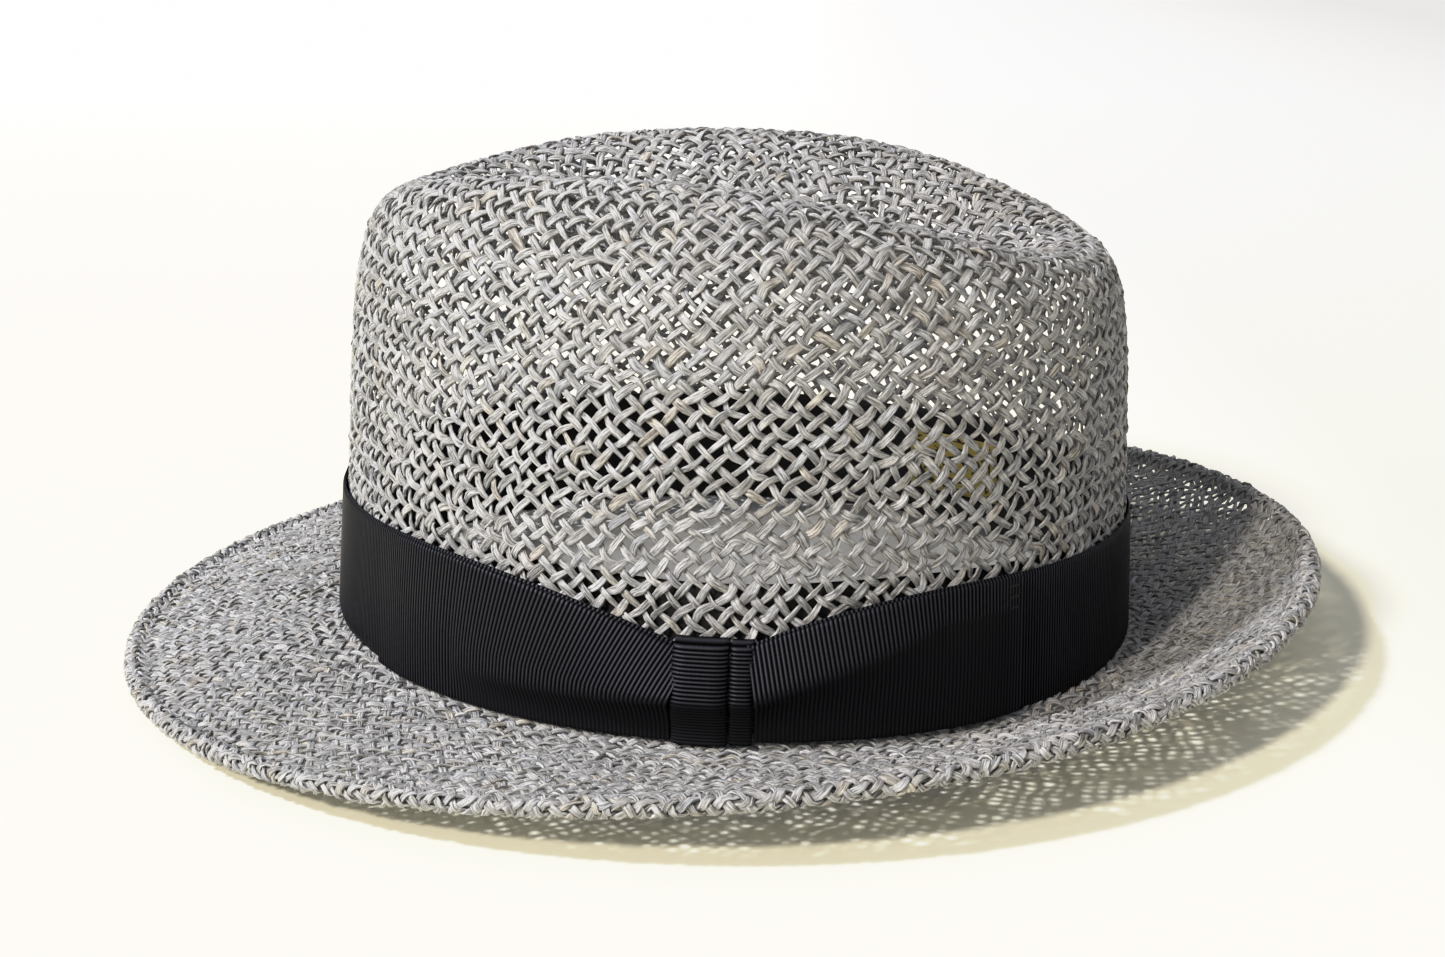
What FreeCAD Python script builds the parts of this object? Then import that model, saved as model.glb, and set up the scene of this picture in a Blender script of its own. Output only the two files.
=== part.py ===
import FreeCAD, Part
import math
import os

# Fedora hat of open-weave straw.  Millimetres, +Z up, the wearer faces -X and the bow is on -Y.
# Angles run from the back (+X) towards +Y; heights on the crown start at the break line.

# Head opening: the oval where crown and brim meet.
OVAL_HALF_LENGTH = 102.0
OVAL_HALF_WIDTH = 88.5
OVAL_EGG = 0.027
BREAK_Z = 10.0
STRAW = 1.6
SEAM_GAP = 0.05

# Crown.
CROWN_RISE = 119.0
RISE_BACK_TO_FRONT = -4.4
RISE_SIDES = -8.0
RISE_CORNER = 1.5
TAPER_FRONT = 0.065
TAPER_BACK = 0.050
TAPER_SIDE = 0.175
TAPER_SIDE_SLOPE = -0.016
SQUARENESS = 7.3
SQUARENESS_BACK = 0.7
SQUARENESS_ENDS = 1.9
CREASE_DEPTH = 30.5
CREASE_HALF_WIDTH = 33.0
CREASE_FLARE = 0.16
CREASE_MIDDLE_X = 8.0
CREASE_HALF_LENGTH = 75.0
PINCH_DEPTH = 0.085
PINCH_X = -28.0
PINCH_HALF_LENGTH = 36.0
PINCH_HEIGHT = 0.80
PINCH_HALF_HEIGHT = 0.34
TIP_EDGE = 50.0

# Brim: snapped down in front, turned up behind.
BRIM_WIDTH = 54.5
BRIM_BACK_NARROWING = -2.0
EDGE_MEAN_Z = 19.0
EDGE_BACK_LIFT = 16.3
EDGE_SIDE_TWIST = 0.9
EDGE_WAVE = 0.4
BRIM_START_SLOPE = 0.35
HEM_WIDTH = 6.0
HEM_HEIGHT = 5.6
WIRE_DIAMETER = 1.6
WIRE_CHANNEL = 1.9

# Ribbon round the crown and the bow on the wearer's left.
BAND_LOW = 1.0
BAND_HIGH = 34.5
BAND_GAP = 0.15
BAND_THICK = 0.8
BOW_FRONT_END = -132.5
BOW_BACK_END = -38.5
BOW_TUCK = 4.0
KNOT_FRONT = -85.3
KNOT_BACK = -77.7
KNOT_STRIP_BACK = -74.3
KNOT_HIGH = 23.0
LOOP_THICK = 1.5
LOOP_BULGE = 3.2
KNOT_THICK = 1.2
KNOT_BULGE = 2.6
TACK_RADIUS = 0.3
TACK_LENGTH = 3.0
TACK_HEIGHTS = (26.0, 28.5, 31.0)
BAND_TACK_ANGLES = (0.0, 60.0, 120.0, 180.0)

# Inside the head opening.
SWEAT_LOW = 0.6
SWEAT_HIGH = 35.0
SWEAT_GAP = 0.15
SWEAT_THICK = 0.8
TAPE_HALF_ANGLE = 5.5
TAPE_THICK = 0.5
LABEL_FROM = 51.0
LABEL_TO = 69.0
LABEL_LOW = 10.0
LABEL_HIGH = 28.0
LABEL_THICK = 0.3
STITCH_COUNT = 90
STITCH_LENGTH = 3.2
STITCH_RADIUS = 0.2
STITCH_HEIGHT = 4.0

# The hat stands on the front of its edge and on the back of the head opening.
REST_TILT = 1.87

# Surface resolution.
ROUND_STEPS = 72
TIP_STEPS = 22
SIDE_STEPS = 20
TUBE_STEPS = 8

os.makedirs("parts", exist_ok=True)


def oval(u):
    """Point of the head oval and its outward direction at angle u."""
    c, s = math.cos(u), math.sin(u)
    x = OVAL_HALF_LENGTH * c
    y = OVAL_HALF_WIDTH * s * (1 + OVAL_EGG * c)
    dx = -OVAL_HALF_LENGTH * s
    dy = OVAL_HALF_WIDTH * (c + OVAL_EGG * (c * c - s * s))
    length = math.hypot(dx, dy)
    return x, y, dy / length, -dx / length


def rise(u):
    """Height of the crown's rim above the break."""
    return (CROWN_RISE + RISE_BACK_TO_FRONT * math.cos(u) + RISE_SIDES * math.cos(2 * u)
            + RISE_CORNER * math.cos(3 * u))


def squareness(u):
    return SQUARENESS + SQUARENESS_BACK * math.cos(u) + SQUARENESS_ENDS * math.cos(2 * u)


def crown_skin(u, across, up):
    """Outer face of the crown: across = 1 on the wall, 0 in the middle; up = 0 at the break."""
    c = math.cos(u)
    x, y, _, _ = oval(u)
    end_taper = (TAPER_FRONT + TAPER_BACK) / 2 + (TAPER_BACK - TAPER_FRONT) / 2 * c
    x *= across * (1 - end_taper * up)
    y *= across * (1 - (TAPER_SIDE + TAPER_SIDE_SLOPE * c) * up)
    pinch_along = (x - PINCH_X) / PINCH_HALF_LENGTH
    pinch_up = (up - PINCH_HEIGHT) / PINCH_HALF_HEIGHT
    y *= 1 - PINCH_DEPTH * math.exp(-pinch_along ** 2 - pinch_up ** 2)
    top = CROWN_RISE + (rise(u) - CROWN_RISE) * across ** 2
    width = CREASE_HALF_WIDTH * (1 + CREASE_FLARE * x / 100)
    crease = math.exp(-(y / width) ** 2 - abs((x - CREASE_MIDDLE_X) / CREASE_HALF_LENGTH) ** 4)
    z = BREAK_Z + STRAW / 2 + SEAM_GAP + top * up - CREASE_DEPTH * crease * up ** 3
    return FreeCAD.Vector(x, y, z)


def crown_at(u, a):
    """Crown skin along one profile: a = 0 in the middle of the top, a = pi/2 at the break."""
    n = squareness(u)
    across, up = math.sin(a), max(math.cos(a), 0.0)
    size = (across ** n + up ** n) ** (1 / n)
    return crown_skin(u, across / size, up / size)


def crown_point(u, a, inset=0.0):
    """Crown skin moved inwards by inset."""
    p = crown_at(u, a)
    if a < 1e-6:
        return p - FreeCAD.Vector(0, 0, inset)
    step = 1e-4
    normal = (crown_at(u + step, a) - crown_at(u - step, a)).cross(crown_at(u, a - step) - crown_at(u, a))
    return p - normal.normalize() * inset


def wall_point(u, height, out=0.0):
    """Point on the crown's wall at a height above the break, moved outwards by out."""
    up = max(height, 0.0) / rise(u)
    across = (1 - up ** squareness(u)) ** (1 / squareness(u))
    return crown_point(u, math.atan2(across, up), -out) + FreeCAD.Vector(0, 0, min(height, 0.0))


def edge_height(u):
    """Height of the brim's edge, at the middle of the hem."""
    return (EDGE_MEAN_Z + EDGE_BACK_LIFT * math.cos(u) + EDGE_SIDE_TWIST * math.sin(u)
            + EDGE_WAVE * math.cos(4 * u))


def brim_reach(u):
    """Horizontal width of the brim."""
    width = BRIM_WIDTH + BRIM_BACK_NARROWING * math.cos(u)
    return math.sqrt(width ** 2 - (edge_height(u) - BREAK_Z) ** 2)


def brim_point(u, out, lift=0.0):
    """Middle of the brim sheet at a horizontal distance out from the head oval."""
    x, y, nx, ny = oval(u)
    t = max(out, 0.0) / brim_reach(u)
    z = BREAK_Z + (edge_height(u) - BREAK_Z) * (BRIM_START_SLOPE * t + (1 - BRIM_START_SLOPE) * t * t)
    return FreeCAD.Vector(x + nx * out, y + ny * out, z + lift)


def knots(count, closed):
    if closed:
        return list(range(count + 1)), [1] * (count + 1)
    return list(range(count - 2)), [4] + [1] * (count - 4) + [4]


def skin(poles, closed_u, closed_v=False):
    """Smooth cubic surface over a grid of poles."""
    u_knots, u_mults = knots(len(poles), closed_u)
    v_knots, v_mults = knots(len(poles[0]), closed_v)
    surface = Part.BSplineSurface()
    surface.buildFromPolesMultsKnots(poles, u_mults, v_mults, u_knots, v_knots, closed_u, closed_v, 3, 3)
    return surface


def sewn(faces):
    """Closed solid from faces that meet at their edges."""
    shape = Part.Compound(faces)
    shape.sewShape(0.01)
    solid = Part.Solid(shape.Shells[0])
    if solid.Volume < 0:
        solid.reverse()
    return solid


def ruled(curve_a, curve_b):
    return Part.makeRuledSurface(curve_a.toShape(), curve_b.toShape())


def shell_solid(outer, inner, closed_u, open_start=True):
    """Solid between two matching skins; closed_u rings have no ends, open_start=False closes on a pole."""
    _, _, v_first, v_last = outer.bounds()
    faces = [outer.toShape(), inner.toShape(), ruled(outer.vIso(v_last), inner.vIso(v_last))]
    if open_start:
        faces.append(ruled(outer.vIso(v_first), inner.vIso(v_first)))
    if not closed_u:
        u_first, u_last, _, _ = outer.bounds()
        faces += [ruled(outer.uIso(u), inner.uIso(u)) for u in (u_first, u_last)]
    return sewn(faces)


def angles(first, last, count):
    """Evenly spaced angles in radians, both ends included."""
    return [math.radians(first + (last - first) * i / (count - 1)) for i in range(count)]


def round_angles():
    return [2 * math.pi * i / ROUND_STEPS for i in range(ROUND_STEPS)]


def wall_ring(low, high, out_near, out_far):
    """Closed ring that follows the crown's wall."""
    heights = [low + (high - low) * i / 7 for i in range(8)]
    skins = [skin([[wall_point(u, h, out) for h in heights] for u in round_angles()], True)
             for out in (out_far, out_near)]
    return shell_solid(*skins, True)


def wall_patch(first, last, low, high, out_near, out_far, count):
    """Patch that follows the wall; low, high and out_far may change with angle and height share."""
    grids = []
    for out in (out_far, out_near):
        grid = []
        for u in angles(first, last, count):
            bottom, top = low(u), high(u)
            grid.append([wall_point(u, bottom + (top - bottom) * t / 7, out(u, t / 7)) for t in range(8)])
        grids.append(grid)
    return shell_solid(skin(grids[0], False), skin(grids[1], False), False)


def constant(value):
    return lambda *_: value


def ease(t):
    t = min(max(t, 0.0), 1.0)
    return t * t * (3 - 2 * t)


def tube(radius_side, radius_up, centre):
    """Closed tube along a closed path."""
    grow = 3 / (2 + math.cos(2 * math.pi / TUBE_STEPS))
    poles = []
    for u in round_angles():
        _, _, nx, ny = oval(u)
        ring = []
        for j in range(TUBE_STEPS):
            v = 2 * math.pi * j / TUBE_STEPS
            side, up = radius_side * grow * math.cos(v), radius_up * grow * math.sin(v)
            ring.append(centre(u) + FreeCAD.Vector(nx * side, ny * side, up))
        poles.append(ring)
    solid = Part.Solid(Part.Shell([skin(poles, True, True).toShape()]))
    if solid.Volume < 0:
        solid.reverse()
    return solid


def thread(middle, direction, length, radius):
    """Short straight length of sewing thread."""
    direction = direction.normalize()
    return Part.makeCylinder(radius, length, middle - direction * (length / 2), direction)


parts = {}



def crown_band(first, last, count):
    """Stretch of the crown between two profile angles."""
    profile = angles(first, last, count)
    skins = [skin([[crown_point(u, a, inset) for a in profile] for u in round_angles()], True)
             for inset in (0.0, STRAW)]
    return shell_solid(*skins, True, open_start=first > 0)


# The tip closes on a pole in the crease; the side wall meets it face to face below the rim.
parts["crown_tip"] = crown_band(0.0, TIP_EDGE, TIP_STEPS)
parts["crown_side"] = crown_band(TIP_EDGE, 90.0, SIDE_STEPS)

# Brim: one sheet from under the crown to the hem.
hem_inner = HEM_WIDTH + SEAM_GAP
brim_shares = [i / 13 for i in range(1, 14)]
brim_skins = []
for lift in (STRAW / 2, -STRAW / 2):
    grid = []
    for u in round_angles():
        reach = brim_reach(u) - hem_inner
        outs = [-STRAW, -STRAW * 0.75, -STRAW / 2, -STRAW / 4, 0.0] + [reach * t for t in brim_shares]
        grid.append([brim_point(u, out, lift) for out in outs])
    brim_skins.append(skin(grid, True))
parts["brim"] = shell_solid(*brim_skins, True)


def hem_centre(u):
    return brim_point(u, brim_reach(u) - HEM_WIDTH / 2)


# Rolled hem with the wire that keeps the brim in shape.
hem_channel = tube(WIRE_CHANNEL / 2, WIRE_CHANNEL / 2, hem_centre)
parts["brim_edge"] = tube(HEM_WIDTH / 2, HEM_HEIGHT / 2, hem_centre).cut(hem_channel)
parts["brim_wire"] = tube(WIRE_DIAMETER / 2, WIRE_DIAMETER / 2, hem_centre)

# Ribbon round the crown; its two ends lie under the bow.
band_out = BAND_GAP + BAND_THICK
parts["hat_band"] = wall_patch(BOW_BACK_END - BOW_TUCK, BOW_FRONT_END + BOW_TUCK + 360, constant(BAND_LOW),
                               constant(BAND_HIGH), constant(BAND_GAP), constant(band_out), 60)

# Bow loops: full ribbon width at the outer ends, gathered and bulging at the knot.
loop_near = band_out + SEAM_GAP


def loop(outer_end, knot_end):
    """One loop of the bow between its outer end and the knot."""
    def share(u):
        return ease((math.degrees(u) - outer_end) / (knot_end - outer_end))

    def top(u):
        return BAND_HIGH + 0.3 - (BAND_HIGH - KNOT_HIGH + 1.0) * share(u)

    def out(u, t):
        return loop_near + LOOP_THICK + LOOP_BULGE * share(u) * math.sin(math.pi * t) ** 2

    first, last = min(outer_end, knot_end), max(outer_end, knot_end)
    return wall_patch(first, last, constant(BAND_LOW - 0.2), top, constant(loop_near), out, 20)


parts["bow_front_loop"] = loop(BOW_FRONT_END, KNOT_FRONT)
parts["bow_back_loop"] = loop(BOW_BACK_END, KNOT_STRIP_BACK)


def wrap(first, last, lift):
    """Ribbon wrapped over the gathered middle of the bow."""
    def out(u, t):
        bulge = (LOOP_BULGE + KNOT_BULGE) * math.sin(math.pi * t) ** 2
        return loop_near + lift + LOOP_THICK + KNOT_THICK + bulge

    low, high = constant(BAND_LOW - 0.4), constant(KNOT_HIGH)
    return wall_patch(first, last, low, high, constant(loop_near), out, 8)


knot_seam = math.degrees(SEAM_GAP / OVAL_HALF_WIDTH)
parts["bow_knot_wrap"] = wrap(KNOT_FRONT + knot_seam, KNOT_BACK, 0.3)
parts["bow_knot_strip"] = wrap(KNOT_BACK + knot_seam, KNOT_STRIP_BACK - knot_seam, -0.6)

# Small thread tacks that hold the ribbon.
tacks = []
loop_face = loop_near + LOOP_THICK + TACK_RADIUS
tack_angle = math.radians(BOW_BACK_END - 1.5)
for height in TACK_HEIGHTS:
    along = wall_point(tack_angle + 0.01, height) - wall_point(tack_angle - 0.01, height)
    tacks.append(thread(wall_point(tack_angle, height, loop_face + 0.1), along, TACK_LENGTH, TACK_RADIUS))
for angle in BAND_TACK_ANGLES:
    u = math.radians(angle)
    along = wall_point(u + 0.01, BAND_HIGH) - wall_point(u - 0.01, BAND_HIGH)
    middle = wall_point(u, BAND_HIGH - 1.0, band_out + TACK_RADIUS + SEAM_GAP)
    tacks.append(thread(middle, along, TACK_LENGTH, TACK_RADIUS))
parts["ribbon_tacks"] = Part.Compound(tacks)

# Sweatband with its join tape, maker's label and lower row of stitches.
sweat_far = -(STRAW + SWEAT_GAP)
sweat_near = sweat_far - SWEAT_THICK
parts["sweatband"] = wall_ring(SWEAT_LOW, SWEAT_HIGH, sweat_near, sweat_far)
trim_out = sweat_near - SEAM_GAP
parts["sweatband_join_tape"] = wall_patch(-TAPE_HALF_ANGLE, TAPE_HALF_ANGLE, constant(SWEAT_LOW + 1.0),
                                          constant(SWEAT_HIGH - 0.5), constant(trim_out - TAPE_THICK),
                                          constant(trim_out), 8)
parts["maker_label"] = wall_patch(LABEL_FROM, LABEL_TO, constant(LABEL_LOW), constant(LABEL_HIGH),
                                  constant(trim_out - LABEL_THICK), constant(trim_out), 8)
stitches = []
for i in range(STITCH_COUNT):
    u = 2 * math.pi * (i + 0.5) / STITCH_COUNT
    if abs(math.remainder(u, 2 * math.pi)) < math.radians(TAPE_HALF_ANGLE + 2):
        continue
    along = wall_point(u + 0.01, STITCH_HEIGHT) - wall_point(u - 0.01, STITCH_HEIGHT)
    middle = wall_point(u, STITCH_HEIGHT, trim_out - STITCH_RADIUS)
    stitches.append(thread(middle, along, STITCH_LENGTH, STITCH_RADIUS))
parts["sweatband_stitching"] = Part.Compound(stitches)

# Stand the hat as it rests, centred over the origin with its lowest point on z = 0.
for shape in parts.values():
    shape.rotate(FreeCAD.Vector(), FreeCAD.Vector(0, 1, 0), REST_TILT)
box = Part.Compound([parts["brim"], parts["brim_edge"]]).optimalBoundingBox()
shift = FreeCAD.Vector(-(box.XMin + box.XMax) / 2, -(box.YMin + box.YMax) / 2, -box.ZMin)
for name, shape in parts.items():
    shape.translate(shift)
    shape.exportStep("parts/" + name + ".step")
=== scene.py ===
import math

import bpy
import numpy as np
from mathutils import Matrix, Vector


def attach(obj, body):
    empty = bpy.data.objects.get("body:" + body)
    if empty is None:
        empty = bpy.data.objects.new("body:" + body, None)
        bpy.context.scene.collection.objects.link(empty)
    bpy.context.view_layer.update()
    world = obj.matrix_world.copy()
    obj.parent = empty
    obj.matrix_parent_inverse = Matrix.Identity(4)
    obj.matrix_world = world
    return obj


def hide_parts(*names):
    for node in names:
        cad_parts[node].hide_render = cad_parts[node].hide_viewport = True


# Fedora of open-weave straw.  Formulas work in millimetres in the hat's own frame: the wearer faces
# -X, the bow is on -Y and +Z is up.  Angles run from the back (+X) towards +Y, and heights on the
# crown start at the break line.  The hat then leans back a little, as it stands on the front of its
# edge and the back of the head opening, and is moved by SHIFT into the row frame.

MM = 0.001
TAU = 2 * math.pi
SHIFT = np.array([4.524, 0.154, -5.869])
REST_TILT = math.radians(1.87)
TURN = np.array(Matrix.Rotation(REST_TILT, 3, "Y"))

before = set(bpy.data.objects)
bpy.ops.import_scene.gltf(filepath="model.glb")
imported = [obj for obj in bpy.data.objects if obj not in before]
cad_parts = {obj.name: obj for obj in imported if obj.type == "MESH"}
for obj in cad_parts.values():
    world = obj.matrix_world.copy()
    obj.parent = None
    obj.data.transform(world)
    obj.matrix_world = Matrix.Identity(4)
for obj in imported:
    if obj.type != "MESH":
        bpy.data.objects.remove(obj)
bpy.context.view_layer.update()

# ---------------------------------------------------------------- hat surface

# Head oval, where the crown and the brim meet.
HALF_LENGTH, HALF_WIDTH, EGG = 102.0, 88.5, 0.027
BREAK_Z = 10.0
STRAW = 1.6

# Crown: height of its rim, taper, squareness of its profile, lengthwise crease and side pinches.
CROWN_RISE, RISE_BACK, RISE_SIDES, RISE_CORNER = 119.0, -4.4, -8.0, 1.5
SKIN_LIFT = 0.85
TAPER_ENDS, TAPER_ENDS_SLOPE = 0.0575, 0.0075
TAPER_SIDES, TAPER_SIDES_SLOPE = 0.175, 0.016
SQUARENESS, SQUARENESS_BACK, SQUARENESS_ENDS = 7.3, 0.7, 1.9
CREASE_DEPTH, CREASE_HALF_WIDTH, CREASE_FLARE = 30.5, 33.0, 0.16
CREASE_MIDDLE_X, CREASE_HALF_LENGTH = 8.0, 75.0
PINCH_DEPTH, PINCH_X, PINCH_HALF_LENGTH = 0.085, -28.0, 36.0
PINCH_HEIGHT, PINCH_HALF_HEIGHT = 0.80, 0.34
OUTWARD_LEAN = 0.10

# Brim: snapped down in front, turned up behind, with a rolled edge.
BRIM_WIDTH, BRIM_BACK_NARROWING = 54.5, 2.0
EDGE_MEAN_Z, EDGE_BACK_LIFT, EDGE_SIDE_TWIST, EDGE_WAVE = 19.0, 16.3, 0.9, 0.4
BRIM_START_SLOPE = 0.35
HEM_WIDTH = 6.0


def oval(u):
    """Head oval: x, y and the outward direction."""
    c, s = np.cos(u), np.sin(u)
    dx = -HALF_LENGTH * s
    dy = HALF_WIDTH * (c + EGG * (c * c - s * s))
    size = np.hypot(dx, dy)
    return HALF_LENGTH * c, HALF_WIDTH * s * (1 + EGG * c), dy / size, -dx / size


def rise(u):
    """Height of the crown's rim above the break."""
    return CROWN_RISE + RISE_BACK * np.cos(u) + RISE_SIDES * np.cos(2 * u) + RISE_CORNER * np.cos(3 * u)


def squareness(u):
    return SQUARENESS + SQUARENESS_BACK * np.cos(u) + SQUARENESS_ENDS * np.cos(2 * u)


def crown_skin(u, across, up):
    """Outer face of the crown; across = 1 on the wall, up = 0 at the break."""
    c = np.cos(u)
    x, y, _, _ = oval(u)
    x = x * across * (1 - (TAPER_ENDS - TAPER_ENDS_SLOPE * c) * up)
    y = y * across * (1 - (TAPER_SIDES - TAPER_SIDES_SLOPE * c) * up)
    pinch_along = (x - PINCH_X) / PINCH_HALF_LENGTH
    pinch_up = (up - PINCH_HEIGHT) / PINCH_HALF_HEIGHT
    y = y * (1 - PINCH_DEPTH * np.exp(-(pinch_along**2) - pinch_up**2))
    top = CROWN_RISE + (rise(u) - CROWN_RISE) * across**2
    crease_across = y / (CREASE_HALF_WIDTH * (1 + CREASE_FLARE * x / 100))
    crease_along = np.abs((x - CREASE_MIDDLE_X) / CREASE_HALF_LENGTH)
    crease = np.exp(-(crease_across**2) - crease_along**4)
    z = BREAK_Z + SKIN_LIFT + top * up - CREASE_DEPTH * crease * up**3
    return np.stack([x, y, z], -1)


def crown_at(u, a):
    """Crown profile: a = 0 in the middle of the top, pi/2 at the break."""
    n = squareness(u)
    across, up = np.sin(a), np.maximum(np.cos(a), 0.0)
    size = (across**n + up**n) ** (1 / n)
    return crown_skin(u, across / size, up / size)


def crown_point(u, a, inset):
    """Crown skin moved inwards by inset."""
    u, a = np.broadcast_arrays(u, a)
    step = 1e-3
    inner, outer = crown_at(u, np.maximum(a - step, 0.0)), crown_at(u, a + step)
    normal = np.cross(crown_at(u + step, a) - crown_at(u - step, a), inner - outer)
    size = np.linalg.norm(normal, axis=-1, keepdims=True)
    normal = np.where(size > 1e-7, normal / np.maximum(size, 1e-12), [0.0, 0.0, 1.0])
    return crown_at(u, a) - normal * inset


def wall_point(u, height, out):
    """Point on the crown's wall at a height above the break, moved outwards."""
    up = np.maximum(height, 0.0) / rise(u)
    n = squareness(u)
    across = (1 - up**n) ** (1 / n)
    p = crown_point(u, np.arctan2(across, up), 0.0)
    _, _, nx, ny = oval(u)
    out = np.broadcast_to(out, np.shape(u))
    p = p + np.stack([nx * out, ny * out, OUTWARD_LEAN * up * out], -1)
    p[..., 2] += np.minimum(height, 0.0)
    return p


def edge_height(u):
    wave = EDGE_WAVE * np.cos(4 * u)
    return EDGE_MEAN_Z + EDGE_BACK_LIFT * np.cos(u) + EDGE_SIDE_TWIST * np.sin(u) + wave


def brim_reach(u):
    """Horizontal width of the brim; its slant width is nearly the same all round."""
    width = BRIM_WIDTH - BRIM_BACK_NARROWING * np.cos(u)
    return np.sqrt(width**2 - (edge_height(u) - BREAK_Z) ** 2)


def brim_point(u, out):
    """Middle of the brim sheet at a horizontal distance out from the head oval."""
    x, y, nx, ny = oval(u)
    t = np.maximum(out, 0.0) / brim_reach(u)
    bend = BRIM_START_SLOPE * t + (1 - BRIM_START_SLOPE) * t * t
    z = BREAK_Z + (edge_height(u) - BREAK_Z) * bend
    return np.stack([x + nx * out, y + ny * out, z], -1)


# ---------------------------------------------------------------- one sheet from crown middle to hem

COLUMNS = 720
CROWN_ROWS, BRIM_ROWS, ROLL_ROWS = 420, 110, 48
CROWN_SAMPLES, FILLET_SAMPLES, BRIM_SAMPLES, ROLL_SAMPLES = 260, 13, 60, 61
FILLET_UP, FILLET_OUT = 4.5, 4.0
ROLL_SIDE, ROLL_UP, ROLL_OUT = 1.95, 1.75, 0.35
ROLL_FROM, ROLL_TO = 150.0, -200.0
ROLL_END_SIZE = 0.72
ROLL_ROOM = 3.6


def resampled(line, rows):
    """Each column's polyline (columns, points, 3) at rows + 1 even steps of its length."""
    step = np.linalg.norm(np.diff(line, axis=1), axis=2)
    out = np.empty((line.shape[0], rows + 1, 3))
    for i in range(line.shape[0]):
        s = np.concatenate([[0.0], np.cumsum(step[i])])
        at = np.linspace(0, s[-1], rows + 1)
        for k in range(3):
            out[i, :, k] = np.interp(at, s, line[i, :, k])
    return out


def crown_lines(u):
    """From the middle of the top down to where the fillet starts."""
    up_end = FILLET_UP / rise(u)
    a_end = np.arctan2((1 - up_end ** squareness(u)) ** (1 / squareness(u)), up_end)
    share = np.linspace(0, 1, CROWN_SAMPLES)[None, :]
    return crown_point(u, a_end * share, STRAW / 2)


def fillet_lines(wall_end, landing):
    """Round corner between the wall and the brim."""
    corner = wall_end.copy()
    corner[:, 2] = BREAK_Z
    t = np.linspace(0, 1, FILLET_SAMPLES)[None, :, None]
    return (1 - t) ** 2 * wall_end[:, None] + 2 * t * (1 - t) * corner[:, None] + t**2 * landing[:, None]


def roll_lines(u, reach):
    """Curl of the rolled hem: over the top, round the outside and under."""
    centre = brim_point(u, reach)
    _, _, nx, ny = oval(u)
    turn = np.radians(np.linspace(ROLL_FROM, ROLL_TO, ROLL_SAMPLES))[None, :]
    shrink = np.linspace(1.0, ROLL_END_SIZE, ROLL_SAMPLES)[None, :]
    side = ROLL_SIDE * np.cos(turn) * shrink + ROLL_OUT
    lift = np.broadcast_to(ROLL_UP * np.sin(turn) * shrink, (COLUMNS, ROLL_SAMPLES))
    return centre[:, None] + np.stack([nx[:, None] * side, ny[:, None] * side, lift], -1)


def hood_grid():
    """Positions of the weave's middle surface, [column, row]: crown, brim, then the rolled hem."""
    u = np.linspace(0, TAU, COLUMNS, endpoint=False)
    column = u[:, None]
    crown = crown_lines(column)
    fillet = fillet_lines(crown[:, -1], brim_point(u, FILLET_OUT))
    reach = brim_reach(column) - HEM_WIDTH / 2
    outs = FILLET_OUT + (reach - ROLL_ROOM - FILLET_OUT) * np.linspace(0, 1, BRIM_SAMPLES)[None, :]
    brim = brim_point(np.broadcast_to(column, outs.shape), outs)
    roll = roll_lines(u, reach[:, 0])
    middle = FILLET_SAMPLES // 2
    first = resampled(np.concatenate([crown[:, :-1], fillet[:, : middle + 1]], 1), CROWN_ROWS)
    second = resampled(np.concatenate([fillet[:, middle:-1], brim, roll[:, :1]], 1), BRIM_ROWS)
    third = resampled(roll, ROLL_ROWS)
    return np.concatenate([first, second[:, 1:], third[:, 1:]], 1)


GRID = hood_grid()
ROWS = GRID.shape[1]
GRID_NORMAL = np.cross(np.gradient(GRID, axis=1), np.roll(GRID, -1, 0) - np.roll(GRID, 1, 0))
GRID_NORMAL[:, 0] = (0, 0, 1)
GRID_NORMAL /= np.linalg.norm(GRID_NORMAL, axis=2, keepdims=True)
PERIMETER = np.linalg.norm(np.roll(GRID, -1, 0) - GRID, axis=2).sum(0)
MERIDIAN = np.linalg.norm(np.diff(GRID, axis=1), axis=2).mean(0)
ROW_LENGTH = np.concatenate([[0.0], np.cumsum(MERIDIAN)])

OVAL_ANGLES = np.linspace(0, TAU, 1441)
OVAL_X, OVAL_Y, _, _ = oval(OVAL_ANGLES)
OVAL_LENGTH = np.concatenate([[0.0], np.cumsum(np.hypot(np.diff(OVAL_X), np.diff(OVAL_Y)))])
OVAL_PERIMETER = OVAL_LENGTH[-1]


def perimeter_at(row):
    return np.interp(row, np.arange(ROWS), PERIMETER)


def on_hood(phase, row):
    """Position and normal of the weave's middle surface; phase is a share of the way round the oval."""
    angle = np.interp(np.mod(phase, 1.0), OVAL_LENGTH / OVAL_PERIMETER, OVAL_ANGLES)
    column = angle / TAU * COLUMNS
    c0 = np.floor(column).astype(int)
    fc = (column - c0)[..., None]
    c0 %= COLUMNS
    c1 = (c0 + 1) % COLUMNS
    row = np.clip(row, 0, ROWS - 1.001)
    r0 = np.floor(row).astype(int)
    fr = (row - r0)[..., None]

    def mix(grid):
        low = grid[c0, r0] * (1 - fc) + grid[c1, r0] * fc
        high = grid[c0, r0 + 1] * (1 - fc) + grid[c1, r0 + 1] * fc
        return low * (1 - fr) + high * fr

    normal = mix(GRID_NORMAL)
    return mix(GRID), normal / np.linalg.norm(normal, axis=-1, keepdims=True)


# ---------------------------------------------------------------- weave lattice

RNG = np.random.default_rng(20)
FIRST_RING_ROW = 3
RING_STEP_CROWN, RING_STEP_BRIM, RING_STEP_ROLL = 2.38, 1.8, 1.65
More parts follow.
